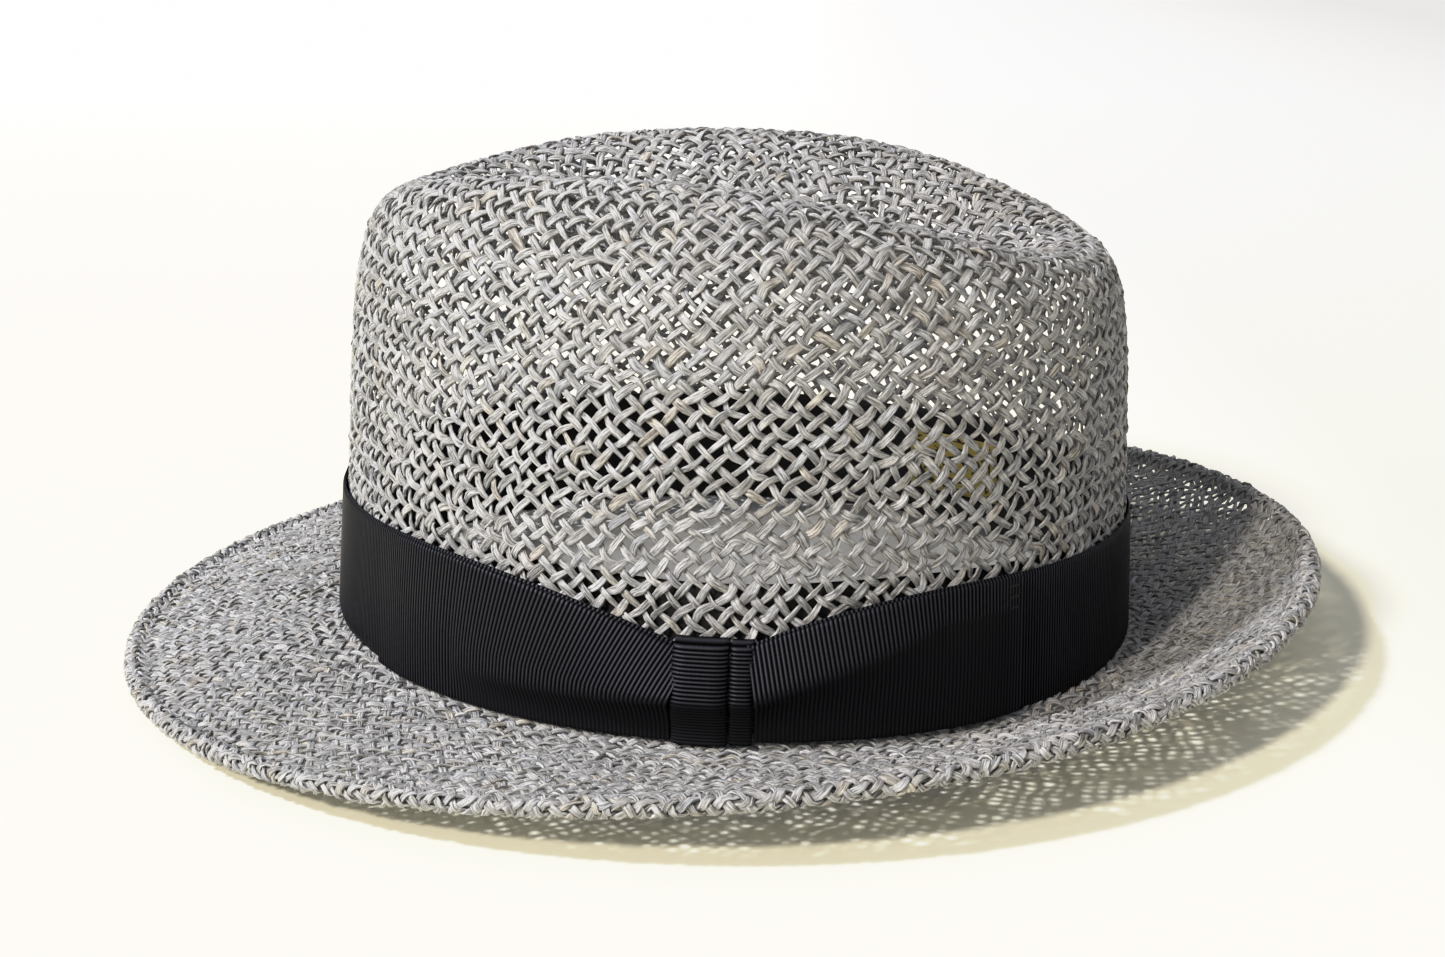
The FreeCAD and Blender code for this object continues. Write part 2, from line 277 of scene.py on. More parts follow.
# Distance between crossings on a ring, at shares of the way down the crown and out over the brim.
CROWN_SHARES, CROWN_PERIODS = (0.35, 0.5), (4.6, 4.95)
BRIM_SHARES, BRIM_PERIODS = (0.0, 0.35, 1.0), (4.95, 3.8, 3.5)
FEWEST_CROSSINGS = 4
START_NOISE = (0.8, 1.2)
RELAX_ROUNDS, RELAX_PULL = 24, 0.65
# Straying of crossings in mm: slow and quick waves as (size, wavelength, seed), then pure chance.
STRAY_ROUND = ((0.55, 34.0, 1), (0.35, 11.0, 2))
STRAY_DOWN = ((0.45, 28.0, 3), (0.3, 9.0, 4))
CHANCE_ROUND, CHANCE_ROUND_ROLLED, CHANCE_DOWN = 0.34, 0.6, 0.24
SMALLEST_RING = 0.05
WANDER_WAVES, WANDER_SIZE = 6, 2.45


def ring_rows():
    """Row of the grid that each ring of crossings lies on."""
    brim_end = CROWN_ROWS + BRIM_ROWS
    stretches = [
        (FIRST_RING_ROW, CROWN_ROWS, RING_STEP_CROWN),
        (CROWN_ROWS, brim_end, RING_STEP_BRIM),
        (brim_end, ROWS - 1, RING_STEP_ROLL),
    ]
    rows = []
    for first, last, step in stretches:
        start, end = ROW_LENGTH[first], ROW_LENGTH[last]
        count = max(2, round((end - start) / step))
        at = np.linspace(start, end, count + 1)[: -1 if last < ROWS - 1 else None]
        rows.extend(np.interp(at, ROW_LENGTH, np.arange(ROWS)))
    return np.array(rows)


RING_ROW = ring_rows()
RINGS = len(RING_ROW)


def wanted(ring):
    """Number of crossings that a ring has room for."""
    row = RING_ROW[ring]
    if row <= CROWN_ROWS:
        period = np.interp(row / CROWN_ROWS, CROWN_SHARES, CROWN_PERIODS)
    else:
        period = np.interp((row - CROWN_ROWS) / BRIM_ROWS, BRIM_SHARES, BRIM_PERIODS)
    return max(FEWEST_CROSSINGS, int(round(perimeter_at(row) / period)))


def widest_gaps(gap, count):
    """Indices of the widest gaps of a ring, no two of them neighbours."""
    picked = set()
    for k in np.argsort(-gap):
        if len(picked) >= count:
            break
        if (k - 1) % len(gap) not in picked and (k + 1) % len(gap) not in picked:
            picked.add(int(k))
    return picked


def build_lattice():
    """Rings of crossings; each crossing has a child on its left and right, new strands start as a V."""
    rings = [(np.arange(wanted(0)) + 0.5) / wanted(0)]
    right, left, starts = [], [], [np.arange(len(rings[0]))]
    for ring in range(RINGS - 1):
        phase = rings[ring]
        n = len(phase)
        between = (phase + np.append(phase[1:], phase[0] + 1)) / 2
        pos, _ = on_hood(between, np.full(n, RING_ROW[ring + 1]))
        gap = np.linalg.norm(pos - np.roll(pos, 1, 0), axis=1) * RNG.uniform(*START_NOISE, n)
        picked = widest_gaps(gap, max(0, wanted(ring + 1) - n))
        values, child, new = [], np.zeros(n, int), []
        for k in range(n):
            if k in picked:
                new.append(len(values))
                values.append(phase[k])
            child[k] = len(values)
            values.append(between[k])
        rings.append(np.array(values))
        right.append(child)
        left.append(np.roll(child, 1))
        starts.append(np.array(new, int))
    return rings, right, left, starts


def relax(rings, right, left):
    """Evens out the spacing along and across the rings."""
    for ring in list(range(RINGS)) * RELAX_ROUNDS:
        phase = rings[ring]
        total = (np.append(phase[1:], phase[0] + 1) + np.append(phase[-1] - 1, phase[:-1])) / 2
        weight = np.ones(len(phase))
        if ring < RINGS - 1:
            wrap = np.zeros(len(phase))
            wrap[0] = 1
            total += (rings[ring + 1][right[ring]] + rings[ring + 1][left[ring]] - wrap) / 2
            weight += 1
        if ring > 0:
            parents = np.full((2, len(phase)), np.nan)
            parents[0, right[ring - 1]] = rings[ring - 1]
            wrapped = rings[ring - 1].copy()
            wrapped[0] += 1
            parents[1, left[ring - 1]] = wrapped
            both = ~np.isnan(parents[0])
            total[both] += parents[:, both].mean(0)
            weight[both] += 1
        rings[ring] = (1 - RELAX_PULL) * phase + RELAX_PULL * total / weight


RING_PHASE, RIGHT_CHILD, LEFT_CHILD, STARTS = build_lattice()
relax(RING_PHASE, RIGHT_CHILD, LEFT_CHILD)


def wander(pos, scale, seed):
    """Sum of random waves over space, between about -1 and 1."""
    rng = np.random.default_rng(seed)
    total = np.zeros(pos.shape[:-1])
    for _ in range(WANDER_WAVES):
        k = rng.normal(size=3) * TAU / scale
        total += np.sin(pos @ k + rng.uniform(0, TAU))
    return total / WANDER_SIZE


def stray(ring):
    """How far each crossing of a ring strays: in share of the way round, and in rows."""
    row, n = RING_ROW[ring], len(RING_PHASE[ring])
    pos, _ = on_hood(RING_PHASE[ring], np.full(n, row))

    def waves(kinds):
        (slow, slow_scale, slow_seed), (quick, quick_scale, quick_seed) = kinds
        return slow * wander(pos, slow_scale, slow_seed) + quick * wander(pos, quick_scale, quick_seed)

    chance = CHANCE_ROUND_ROLLED if row > CROWN_ROWS + BRIM_ROWS else CHANCE_ROUND
    turn_length = OVAL_PERIMETER * max(SMALLEST_RING, perimeter_at(row) / OVAL_PERIMETER)
    row_length = np.interp(row, np.arange(ROWS - 1) + 0.5, MERIDIAN)
    shift = (waves(STRAY_ROUND) + chance * RNG.normal(size=n)) / turn_length
    climb = (waves(STRAY_DOWN) + CHANCE_DOWN * RNG.normal(size=n)) / row_length
    if ring == 0:
        shift = np.zeros(n)
    if ring < 2 or ring > RINGS - 2:
        climb = np.zeros(n)
    return shift, climb


STRAY = [stray(ring) for ring in range(RINGS)]


def walk(ring, index, go_right):
    """Crossings that one strand passes, from its start to the hem: phase, row and side."""
    path, winding = [], 0.0
    while True:
        over = (ring % 2 == 0) == go_right
        shift, climb = STRAY[ring]
        phase = RING_PHASE[ring][index] + winding + shift[index]
        path.append((phase, RING_ROW[ring] + climb[index], 1.0 if over else -1.0))
        if ring == RINGS - 1:
            return path
        if not go_right and index == 0:
            winding -= 1.0
        index = (RIGHT_CHILD if go_right else LEFT_CHILD)[ring][index]
        ring += 1


def strand_paths():
    """One path per strand: a bent strand runs up its left arm, through its start and down its right arm."""
    paths = []
    for ring, new in enumerate(STARTS):
        for index in new:
            arm_right, arm_left = walk(ring, index, True), walk(ring, index, False)
            paths.append(arm_left[:0:-1] + arm_right)
    return [path for path in paths if len(path) > 2]


# ---------------------------------------------------------------- strands as flattened, grooved ribbons

SPAN_STEPS = 3
WAVE, WAVE_SHARPNESS = 0.46, 1.5
HALF_WIDE, HALF_THICK = 0.86, 0.35
# Section of a strand, (across, up) in shares of its half sizes; the point GROOVE is pressed in.
SECTION = np.array([
    (1.0, 0.05), (0.92, 0.72), (0.48, 1.0), (0.05, 0.74), (-0.45, 1.04),
    (-0.92, 0.70), (-1.0, 0.0), (-0.6, -0.85), (0.0, -0.7), (0.6, -0.85),
])
GROOVE = 3
GROOVE_FOLLOW, GROOVE_EDGES_FOLLOW = 0.6, 0.25
# The weave lies flatter on the brim and stands up again round the hem.
BRIM_WAVE_LOSS, HEM_WAVE_GAIN = 0.46, 0.32
BRIM_WIDER, HEM_NARROWER, WIDER_ON_TOP = 0.01, 0.14, 0.11
BRIM_BLEND_ROWS, HEM_BLEND_BEFORE, HEM_BLEND_ROWS = 30, 8, 12
# Random variation along a strand: its size, and how many samples one swing lasts.
LIFT_NOISE, BRIM_LIFT_NOISE_LOSS, LIFT_SWING = 0.10, 0.03, 3
HEM_LIFT_NOISE, HEM_LIFT_SWING = 0.12, 4
TWIST_SLOW, TWIST_QUICK = (0.34, 7), (0.20, 3)
WIDTH_OWN, WIDTH_SLOW, WIDTH_QUICK = 0.10, (0.20, 9), (0.13, 2)
THICKNESS, GROOVE_WANDER = (0.18, 5), (0.45, 8)
GROOVE_DEPTH, GROOVE_DEPTH_CHANGE, DEEPEST_GROOVE = 0.55, (0.35, 6), 1.1
NOISE_SIZE, NOISE_LIMIT = 0.7, 1.6
WEAVE_QUADS = 92000


def smooth_noise(n, step, rng):
    """Random values along a strand, smooth over step samples, about -1 to 1."""
    knots = rng.normal(size=n // step + 3)
    x = np.arange(n) / step
    i = x.astype(int)
    f = x - i
    f = f * f * (3 - 2 * f)
    return np.clip((knots[i] * (1 - f) + knots[i + 1] * f) * NOISE_SIZE, -NOISE_LIMIT, NOISE_LIMIT)


def swings(n, kind, rng):
    size, step = kind
    return size * smooth_noise(n, step, rng)


def spline(values):
    """Catmull-Rom through the values, SPAN_STEPS samples a span."""
    v = np.concatenate([[2 * values[0] - values[1]], values, [2 * values[-1] - values[-2]]])
    a, b, c, d = (q[:, None] for q in (v[:-3], v[1:-2], v[2:-1], v[3:]))
    t = (np.arange(SPAN_STEPS) / SPAN_STEPS)[None, :]
    out = 0.5 * (2 * b + (c - a) * t + (2 * a - 5 * b + 4 * c - d) * t**2 + (3 * b - a - 3 * c + d) * t**3)
    return np.append(out.ravel(), values[-1])


def unit(vectors):
    return vectors / np.linalg.norm(vectors, axis=-1, keepdims=True)


def strand_line(path, rng):
    """A strand's centre line, the hood's normals, and its shares over, on the brim and in the hem."""
    phase, row, side = (spline(np.array(values, float)) for values in zip(*path))
    over = np.tanh(WAVE_SHARPNESS * side) / math.tanh(WAVE_SHARPNESS)
    pos, normal = on_hood(phase, row)
    n = len(pos)
    rolled = np.clip((row - CROWN_ROWS - BRIM_ROWS + HEM_BLEND_BEFORE) / HEM_BLEND_ROWS, 0, 1)
    on_brim = np.clip((row - CROWN_ROWS) / BRIM_BLEND_ROWS, 0, 1)
    lift = over * WAVE * (1 - BRIM_WAVE_LOSS * on_brim + HEM_WAVE_GAIN * rolled)
    lift = lift + (LIFT_NOISE - BRIM_LIFT_NOISE_LOSS * on_brim) * smooth_noise(n, LIFT_SWING, rng)
    lift = lift + rolled * HEM_LIFT_NOISE * smooth_noise(n, HEM_LIFT_SWING, rng)
    return pos + normal * lift[:, None], normal, over, on_brim, rolled


def strand_frame(centre, normal, rng):
    """Directions across and up along a strand that twists a little."""
    n = len(centre)
    tangent = unit(np.gradient(centre, axis=0))
    across = unit(np.cross(tangent, normal))
    up = np.cross(across, tangent)
    twist = swings(n, TWIST_SLOW, rng) + swings(n, TWIST_QUICK, rng)
    c, s = np.cos(twist)[:, None], np.sin(twist)[:, None]
    return across * c + up * s, up * c - across * s


def strand_sections(n, rng):
    """Section points of a strand whose groove wanders and changes depth."""
    sx, sy = (np.tile(SECTION[:, k], (n, 1)) for k in range(2))
    groove = swings(n, GROOVE_WANDER, rng)
    depth = np.clip(GROOVE_DEPTH + swings(n, GROOVE_DEPTH_CHANGE, rng), 0, DEEPEST_GROOVE)
    sx[:, GROOVE] += groove * GROOVE_FOLLOW
    for edge in (GROOVE - 1, GROOVE + 1):
        sx[:, edge] += groove * GROOVE_EDGES_FOLLOW
    sy[:, GROOVE] = 1.0 - depth
    return sx, sy


def strand_mesh(path, rng):
    """Vertices, quads and per-vertex strand data (mm across, mm along, own number) of one strand."""
    centre, normal, over, on_brim, rolled = strand_line(path, rng)
    across, up = strand_frame(centre, normal, rng)
    n, m = len(centre), len(SECTION)
    own = WIDTH_OWN * rng.normal()
    wide = HALF_WIDE * (1 + own + swings(n, WIDTH_SLOW, rng) + swings(n, WIDTH_QUICK, rng))
    wide = wide * (1 + BRIM_WIDER * on_brim - HEM_NARROWER * rolled) * (1 + WIDER_ON_TOP * over)
    thick = HALF_THICK * (1 + swings(n, THICKNESS, rng))
    sx, sy = strand_sections(n, rng)
    verts = centre[:, None] + across[:, None] * (sx * wide[:, None])[..., None]
    verts = verts + up[:, None] * (sy * thick[:, None])[..., None]
    length = np.concatenate([[0.0], np.cumsum(np.linalg.norm(np.diff(centre, axis=0), axis=1))])
    tag = np.full((n, m), rng.uniform(0, 100))
    data = np.stack([sx * wide[:, None], np.tile(length[:, None], (1, m)), tag], -1)
    i = np.arange(n - 1)[:, None] * m
    j = np.arange(m)[None, :]
    k = (j + 1) % m
    quads = np.stack([i + j, i + k, i + m + k, i + m + j], -1).reshape(-1, 4)
    return verts.reshape(-1, 3), quads, data.reshape(-1, 3)


def weave_pieces():
    """Strands joined into pieces of at most WEAVE_QUADS faces, in the order in which strands start."""
    rng = np.random.default_rng(5)
    m = len(SECTION)
    pieces, verts, faces, data, base = [], [], [], [], 0
    for path in strand_paths():
        strand_verts, quads, strand_data = strand_mesh(path, rng)
        if len(faces) + len(quads) > WEAVE_QUADS:
            pieces.append((np.concatenate(verts), faces, np.concatenate(data)))
            verts, faces, data, base = [], [], [], 0
        end = base + len(strand_verts)
        verts.append(strand_verts)
        data.append(strand_data)
        faces.extend((quads + base).tolist())
        faces.append(list(range(base + m - 1, base - 1, -1)))
        faces.append(list(range(end - m, end)))
        base = end
    pieces.append((np.concatenate(verts), faces, np.concatenate(data)))
    return pieces


def make_mesh(name, verts, faces, attributes=None):
    """Smooth object from arrays in the hat's frame, in millimetres."""
    mesh = bpy.data.meshes.new(name)
    placed = (np.asarray(verts) @ TURN.T + SHIFT) * MM
    mesh.from_pydata(placed.tolist(), [], [list(map(int, face)) for face in faces])
    for key, values in (attributes or {}).items():
        layer = mesh.attributes.new(key, "FLOAT_VECTOR", "POINT")
        layer.data.foreach_set("vector", np.asarray(values, np.float32).ravel())
    mesh.polygons.foreach_set("use_smooth", np.ones(len(mesh.polygons), bool))
    mesh.update()
    obj = bpy.data.objects.new(name, mesh)
    bpy.context.scene.collection.objects.link(obj)
    return obj


# ---------------------------------------------------------------- materials


class Nodes:
    """Small helper to write node materials."""

    def __init__(self, name):
        self.material = bpy.data.materials.new(name)
        self.material.use_nodes = True
        self.tree = self.material.node_tree
        self.shader = self.tree.nodes["Principled BSDF"]

    def put(self, socket, value):
        if isinstance(value, bpy.types.NodeSocket):
            self.tree.links.new(value, socket)
        else:
            socket.default_value = value

    def add(self, kind, inputs=None, **settings):
        node = self.tree.nodes.new(kind)
        for key, value in settings.items():
            setattr(node, key, value)
        for key, value in (inputs or {}).items():
            self.put(node.inputs[key], value)
        return node

    def set_shader(self, **inputs):
        """Sets shader inputs; an underscore in a name stands for a space."""
        for key, value in inputs.items():
            self.put(self.shader.inputs[key.replace("_", " ")], value)

    def attribute(self, name):
        return self.add("ShaderNodeAttribute", attribute_name=name).outputs["Vector"]

    def position(self):
        return self.add("ShaderNodeTexCoord").outputs["Object"]

    def separate(self, vector):
        return self.add("ShaderNodeSeparateXYZ", {"Vector": vector}).outputs

    def combine(self, x, y, z=0.0):
        return self.add("ShaderNodeCombineXYZ", {"X": x, "Y": y, "Z": z}).outputs[0]

    def math(self, operation, a, b=0.0, clamp=False):
        node = self.add("ShaderNodeMath", operation=operation, use_clamp=clamp)
        self.put(node.inputs[0], a)
        self.put(node.inputs[1], b)
        return node.outputs[0]

    def times(self, a, b):
        return self.math("MULTIPLY", a, b)

    def plus(self, a, b):
        return self.math("ADD", a, b)

    def mix(self, share, a, b, blend="MIX"):
        node = self.add("ShaderNodeMix", data_type="RGBA", blend_type=blend)
        self.put(node.inputs[0], share)
        self.put(node.inputs[6], a)
        self.put(node.inputs[7], b)
        return node.outputs[2]

    def ramp(self, value, stops):
        node = self.add("ShaderNodeValToRGB")
        ramp = node.color_ramp
        while len(ramp.elements) < len(stops):
            ramp.elements.new(0.5)
        for element, (at, colour) in zip(ramp.elements, stops):
            element.position = at
            element.color = colour if len(colour) == 4 else (*colour, 1.0)
        self.put(node.inputs[0], value)
        return node.outputs[0]

    def noise(self, vector, scale, detail=2.0, rough=0.5):
        inputs = {"Vector": vector, "Scale": scale, "Detail": detail, "Roughness": rough}
        return self.add("ShaderNodeTexNoise", inputs).outputs["Fac"]

    def bump(self, height, strength, distance):
        node = self.add("ShaderNodeBump", {"Height": height, "Strength": strength, "Distance": distance})
        self.tree.links.new(node.outputs["Normal"], self.shader.inputs["Normal"])


def grey(value, warm=0.0):
    return (value * (1 + warm), value, value * (1 - warm), 1.0)


# Length of the hat in metres, and how far apart the strands' own numbers put their patterns.
HAT_LENGTH = 0.3
TAG_SPREAD = 7.3


def straw_material():
    """Dyed flat fibre: streaks and cracks along each strand with painted crease shade and painted highlights,
    strand edges darkened as painted shade, a tone of its own, and painted light at the front with painted
    shade towards the back.
    """
    m = Nodes("straw")
    across, along, tag = m.separate(m.attribute("strand"))

    def stretched(scale_across, scale_along):
        return m.combine(m.times(across, scale_across), m.times(along, scale_along), m.times(tag, TAG_SPREAD))

    fibre = m.noise(stretched(3.2, 0.30), 1.0, 2.0, 0.6)
    fine = m.noise(stretched(6.0, 0.5), 1.0, 2.0, 0.6)
    blotch = m.noise(stretched(0.3, 0.14), 1.0, 2.0, 0.5)
    hue = m.noise(stretched(0.1, 0.05), 1.0, 1.0, 0.5)
    tone = m.ramp(blotch, [(0.30, grey(0.27, -0.01)), (0.5, grey(0.40, -0.008)), (0.70, grey(0.52, -0.005))])
    cool, plain, warm = (0.96, 0.97, 1.02), (1.0, 0.985, 0.99), (1.06, 0.98, 0.88)
    tint = m.ramp(hue, [(0.34, cool), (0.46, plain), (0.60, plain), (0.70, warm)])
    # Fibre streaks: partly the fibre's own tone, partly painted shade in the creases between fibres and
    # painted highlights on their ridges.
    shadow, middle, light = (0.26, 0.25, 0.24), (0.95, 0.95, 0.95), (1.42, 1.41, 1.40)
    streak_and_crease_shade = m.ramp(fibre, [(0.36, shadow), (0.47, middle), (0.66, light)])
    crack = m.ramp(fine, [(0.37, (0.36, 0.34, 0.32)), (0.45, (1.06, 1.06, 1.06))])
    # Painted shade: each strand is darkened towards its edges, where the gaps between strands lie in shadow.
    rim = m.ramp(m.math("ABSOLUTE", across), [(0.70, (1.0, 1.0, 1.0)), (0.92, (0.55, 0.53, 0.51))])
    # Painted light and shade: the straw is painted lighter at the front, on the lit side, and darker towards
    # the back, where the crown's shadow falls.
    front_to_back = m.plus(m.times(m.separate(m.position())[0], 1 / HAT_LENGTH), 0.5)
    painted_light_front_to_back = m.ramp(front_to_back, [
        (0.0, grey(1.12, -0.02)), (0.23, grey(0.96, -0.02)), (0.43, grey(1.04, -0.015)),
        (0.73, grey(0.86)), (1.0, grey(0.75)),
    ])
    colour = m.mix(1.0, tone, tint, "MULTIPLY")
    for share, layer in ((0.9, streak_and_crease_shade), (0.7, crack), (0.8, rim), (1.0, painted_light_front_to_back)):
        colour = m.mix(share, colour, layer, "MULTIPLY")
    m.set_shader(Base_Color=colour, Roughness=0.5, Specular_IOR_Level=0.5)
    m.bump(m.plus(fibre, m.times(fine, 0.4)), 1.0, 0.0006)
    return m.material


def ribbon_material():
    """Black grosgrain: crests of the ribs shine a little and are painted lighter as a painted highlight,
    grooves are painted black as painted shade, and the parts painted in shade are darker and lose their
    shine.
    """
    m = Nodes("grosgrain")
    cloth = m.attribute("cloth")
    rib_number, across, painted_shade = m.separate(cloth)
    threads = m.noise(m.combine(m.times(rib_number, 0.35), m.times(across, 3.0)), 1.0, 2.0, 0.6)
    patch = m.noise(cloth, 0.06, 2.0, 0.5)
    rib = m.math("ABSOLUTE", m.math("SINE", m.times(rib_number, math.pi)))
    crest = m.plus(m.times(rib, 0.8), m.times(threads, 0.2))
    # Painted light and shade in the base colour: near black in the grooves as painted shade, lighter on the
    # rib crests as a painted highlight.
    groove, flank, top = (0.0012, 0.0012, 0.0014), (0.0024, 0.0025, 0.0032), (0.0150, 0.0155, 0.0195)
    colour = m.ramp(crest, [(0.45, groove), (0.72, flank), (0.90, top)])
    shine_outside_painted_shade = m.math("SUBTRACT", 1.0, m.times(painted_shade, 0.80))
    shine = m.ramp(crest, [(0.40, grey(0.0)), (0.88, grey(0.22))])
    rough = m.plus(m.times(patch, 0.15), m.times(crest, -0.35))
    # Painted shade: where the ribbon is painted in shade, its ribs are flattened to one dark tone and lose
    # most of their shine.
    m.set_shader(
        Base_Color=m.mix(m.times(painted_shade, 0.85), colour, (0.0085, 0.0085, 0.0100, 1)),
        Roughness=m.plus(rough, 0.70),
        Specular_IOR_Level=m.times(shine, shine_outside_painted_shade),
        Specular_Tint=(0.9, 0.95, 1.15, 1.0),
    )
    m.bump(threads, 0.3, 0.0001)
    return m.material


def cloth_material(name, colour, roughness):
    """Plain dull cloth or thread."""
    m = Nodes(name)
    position = m.position()
    weave = m.noise(position, 900.0, 2.0, 0.6)
    patch = m.noise(position, 40.0, 2.0, 0.5)
    dark, light = ((*[c * level for c in colour], 1) for level in (0.65, 1.35))
    tone = m.ramp(m.plus(m.times(weave, 0.5), m.times(patch, 0.5)), [(0.35, dark), (0.65, light)])
    m.set_shader(Base_Color=tone, Roughness=roughness, Specular_IOR_Level=0.3)
    m.bump(weave, 0.35, 0.0002)
    return m.material


def label_material():
    """Worn gold print on black cloth: a border and plain rings."""
    m = Nodes("label_gold")
    place = m.attribute("cloth")
    s, t, _ = m.separate(place)
    from_middle_s = m.math("ABSOLUTE", m.math("SUBTRACT", s, 0.5))
    from_middle_t = m.math("ABSOLUTE", m.math("SUBTRACT", t, 0.5))
    border = m.math("GREATER_THAN", m.math("MAXIMUM", from_middle_s, from_middle_t), 0.42)
    squared = m.plus(m.math("POWER", from_middle_s, 2.0), m.math("POWER", from_middle_t, 2.0))
    ripple = m.math("SINE", m.times(m.math("SQRT", squared), 40.0))
    rings = m.math("GREATER_THAN", ripple, -0.25)
    worn = m.math("GREATER_THAN", m.noise(place, 9.0, 3.0, 0.6), 0.40)
    printed = m.times(m.math("MAXIMUM", border, rings), worn)
    m.set_shader(Base_Color=m.mix(printed, (0.008, 0.008, 0.008, 1), (0.34, 0.27, 0.06, 1)), Roughness=0.5)
    m.bump(m.noise(place, 60.0, 2.0, 0.6), 0.35, 0.0002)
    return m.material


def wire_material():
    """Drawn steel."""
    m = Nodes("wire_steel")
    drawn = m.noise(m.position(), 700.0, 3.0, 0.6)
    tone = m.ramp(drawn, [(0.35, grey(0.30)), (0.65, grey(0.52))])
    m.set_shader(Base_Color=tone, Roughness=m.plus(m.times(drawn, 0.3), 0.25), Metallic=1.0)
    m.bump(drawn, 0.3, 0.0001)
    return m.material


STRAW_MATERIAL = straw_material()
RIBBON_MATERIAL = ribbon_material()
SWEAT_MATERIAL = cloth_material("sweatband_cloth", (0.006, 0.006, 0.0065), 0.75)
GOLD_MATERIAL = label_material()
THREAD_MATERIAL = cloth_material("black_thread", (0.006, 0.006, 0.0065), 0.7)
WIRE_MATERIAL = wire_material()


def finish_piece(obj, material, slot, *nodes):
    """Gives a piece its material, and makes it ride on the hat and stand for its CAD nodes."""
    obj.data.materials.append(material)
    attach(obj, "root")
    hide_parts(*nodes)


def finish_node(node, material):
    """Gives a CAD node that stays visible its material."""
    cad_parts[node].data.materials.clear()
    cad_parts[node].data.materials.append(material)


for number, (verts, faces, data) in enumerate(weave_pieces(), 1):
    piece = make_mesh(f"weave_{number}", verts, faces, {"strand": data})
    finish_piece(piece, STRAW_MATERIAL, "straw", "crown_tip", "crown_side", "brim", "brim_edge")


# ---------------------------------------------------------------- core of the rolled hem

CORE_COLUMNS, CORE_SECTIONS = 720, 12
CORE_SIDE, CORE_UP = 1.15, 1.0
CORE_SWELL, CORE_SWELLS = 0.10, 149
CORE_DATA_ACROSS, CORE_DATA_ALONG = 0.8, 1.25


def core_mesh():
    """Tube with swellings that fills the middle of the rolled hem."""
    u = np.linspace(0, TAU, CORE_COLUMNS, endpoint=False)
    _, _, nx, ny = oval(u)
    side = np.stack([nx, ny, 0 * nx], -1)[:, None]
    centre = brim_point(u, brim_reach(u) - HEM_WIDTH / 2)[:, None] + side * ROLL_OUT
    swell = (1 + CORE_SWELL * np.sin(u * CORE_SWELLS))[:, None, None]
    v = np.arange(CORE_SECTIONS) / CORE_SECTIONS * TAU
    c, s = np.cos(v)[None, :, None], np.sin(v)[None, :, None]
    verts = centre + side * c * (CORE_SIDE * swell) + np.array([0.0, 0.0, 1.0]) * s * (CORE_UP * swell)
    i = np.arange(CORE_COLUMNS)[:, None] * CORE_SECTIONS
    following = (i + CORE_SECTIONS) % (CORE_COLUMNS * CORE_SECTIONS)
    j = np.arange(CORE_SECTIONS)[None, :]
    k = (j + 1) % CORE_SECTIONS
    quads = np.stack([i + j, following + j, following + k, i + k], -1).reshape(-1, 4)
    across = np.tile(np.arange(CORE_SECTIONS) * CORE_DATA_ACROSS, CORE_COLUMNS)
    along = np.repeat(np.arange(CORE_COLUMNS) * CORE_DATA_ALONG, CORE_SECTIONS)
    return verts.reshape(-1, 3), quads, np.stack([across, along, 0 * along], -1)


verts, faces, data = core_mesh()
core = make_mesh("hem_core", verts, faces, {"strand": data})
finish_piece(core, STRAW_MATERIAL, "straw_edge", "brim_edge")


# ---------------------------------------------------------------- cloth shells

RIB_PROFILE = np.array([0.0, 0.78, 1.0, 0.78])
RIB_STEPS = len(RIB_PROFILE)
RIB_HEIGHT = 0.30
RIBBON_THICK = 0.34
SELVEDGE, SELVEDGE_THICK = 0.35, 0.3
NORMAL_STEP = 1e-3


def shell_faces(columns, rows, closed):
    """Quads of a thin shell: a front grid, a back grid of the same size, and the rim between them."""
    total = columns * rows
    i = np.arange(columns if closed else columns - 1)
    following = (i + 1) % columns
    j = np.arange(rows - 1)
    a = i[:, None] * rows + j
    b = following[:, None] * rows + j
    front = np.stack([a, b, b + 1, a + 1], -1).reshape(-1, 4)
    faces = [front, front[:, ::-1] + total]

    def rim(start, end, flip):
        quads = np.stack([start, start + total, end + total, end], -1)
        faces.append(quads[:, ::-1] if flip else quads)

    for row, flip in ((0, False), (rows - 1, True)):
        rim(i * rows + row, following * rows + row, flip)
    if not closed:
        for column, flip in ((0, True), (columns - 1, False)):
            rim(column * rows + j, column * rows + j + 1, flip)
    return np.concatenate(faces)


def shell_verts(middle, out):
    return np.concatenate([(middle + out).reshape(-1, 3), (middle - out).reshape(-1, 3)])


def path_normal(path, s, t, before, after):
    """Unit normal of path(s, t), from its differences between before and after along s."""
    along = path(after, t) - path(before, t)
    across = path(s, np.minimum(t + NORMAL_STEP, 1)) - path(s, np.maximum(t - NORMAL_STEP, 0))
    return unit(np.cross(along, across))


def strip_shell(path, columns, rows, thick, closed):
    """Thin plain cloth strip along path(s, t)."""
    s = (np.arange(columns) / columns if closed else np.linspace(0, 1, columns))[:, None]
    s, t = np.broadcast_arrays(s, np.linspace(0, 1, rows)[None, :])
    normal = path_normal(path, s, t, s - NORMAL_STEP, s + NORMAL_STEP)
    return shell_verts(path(s, t), normal * thick / 2), shell_faces(columns, rows, closed)


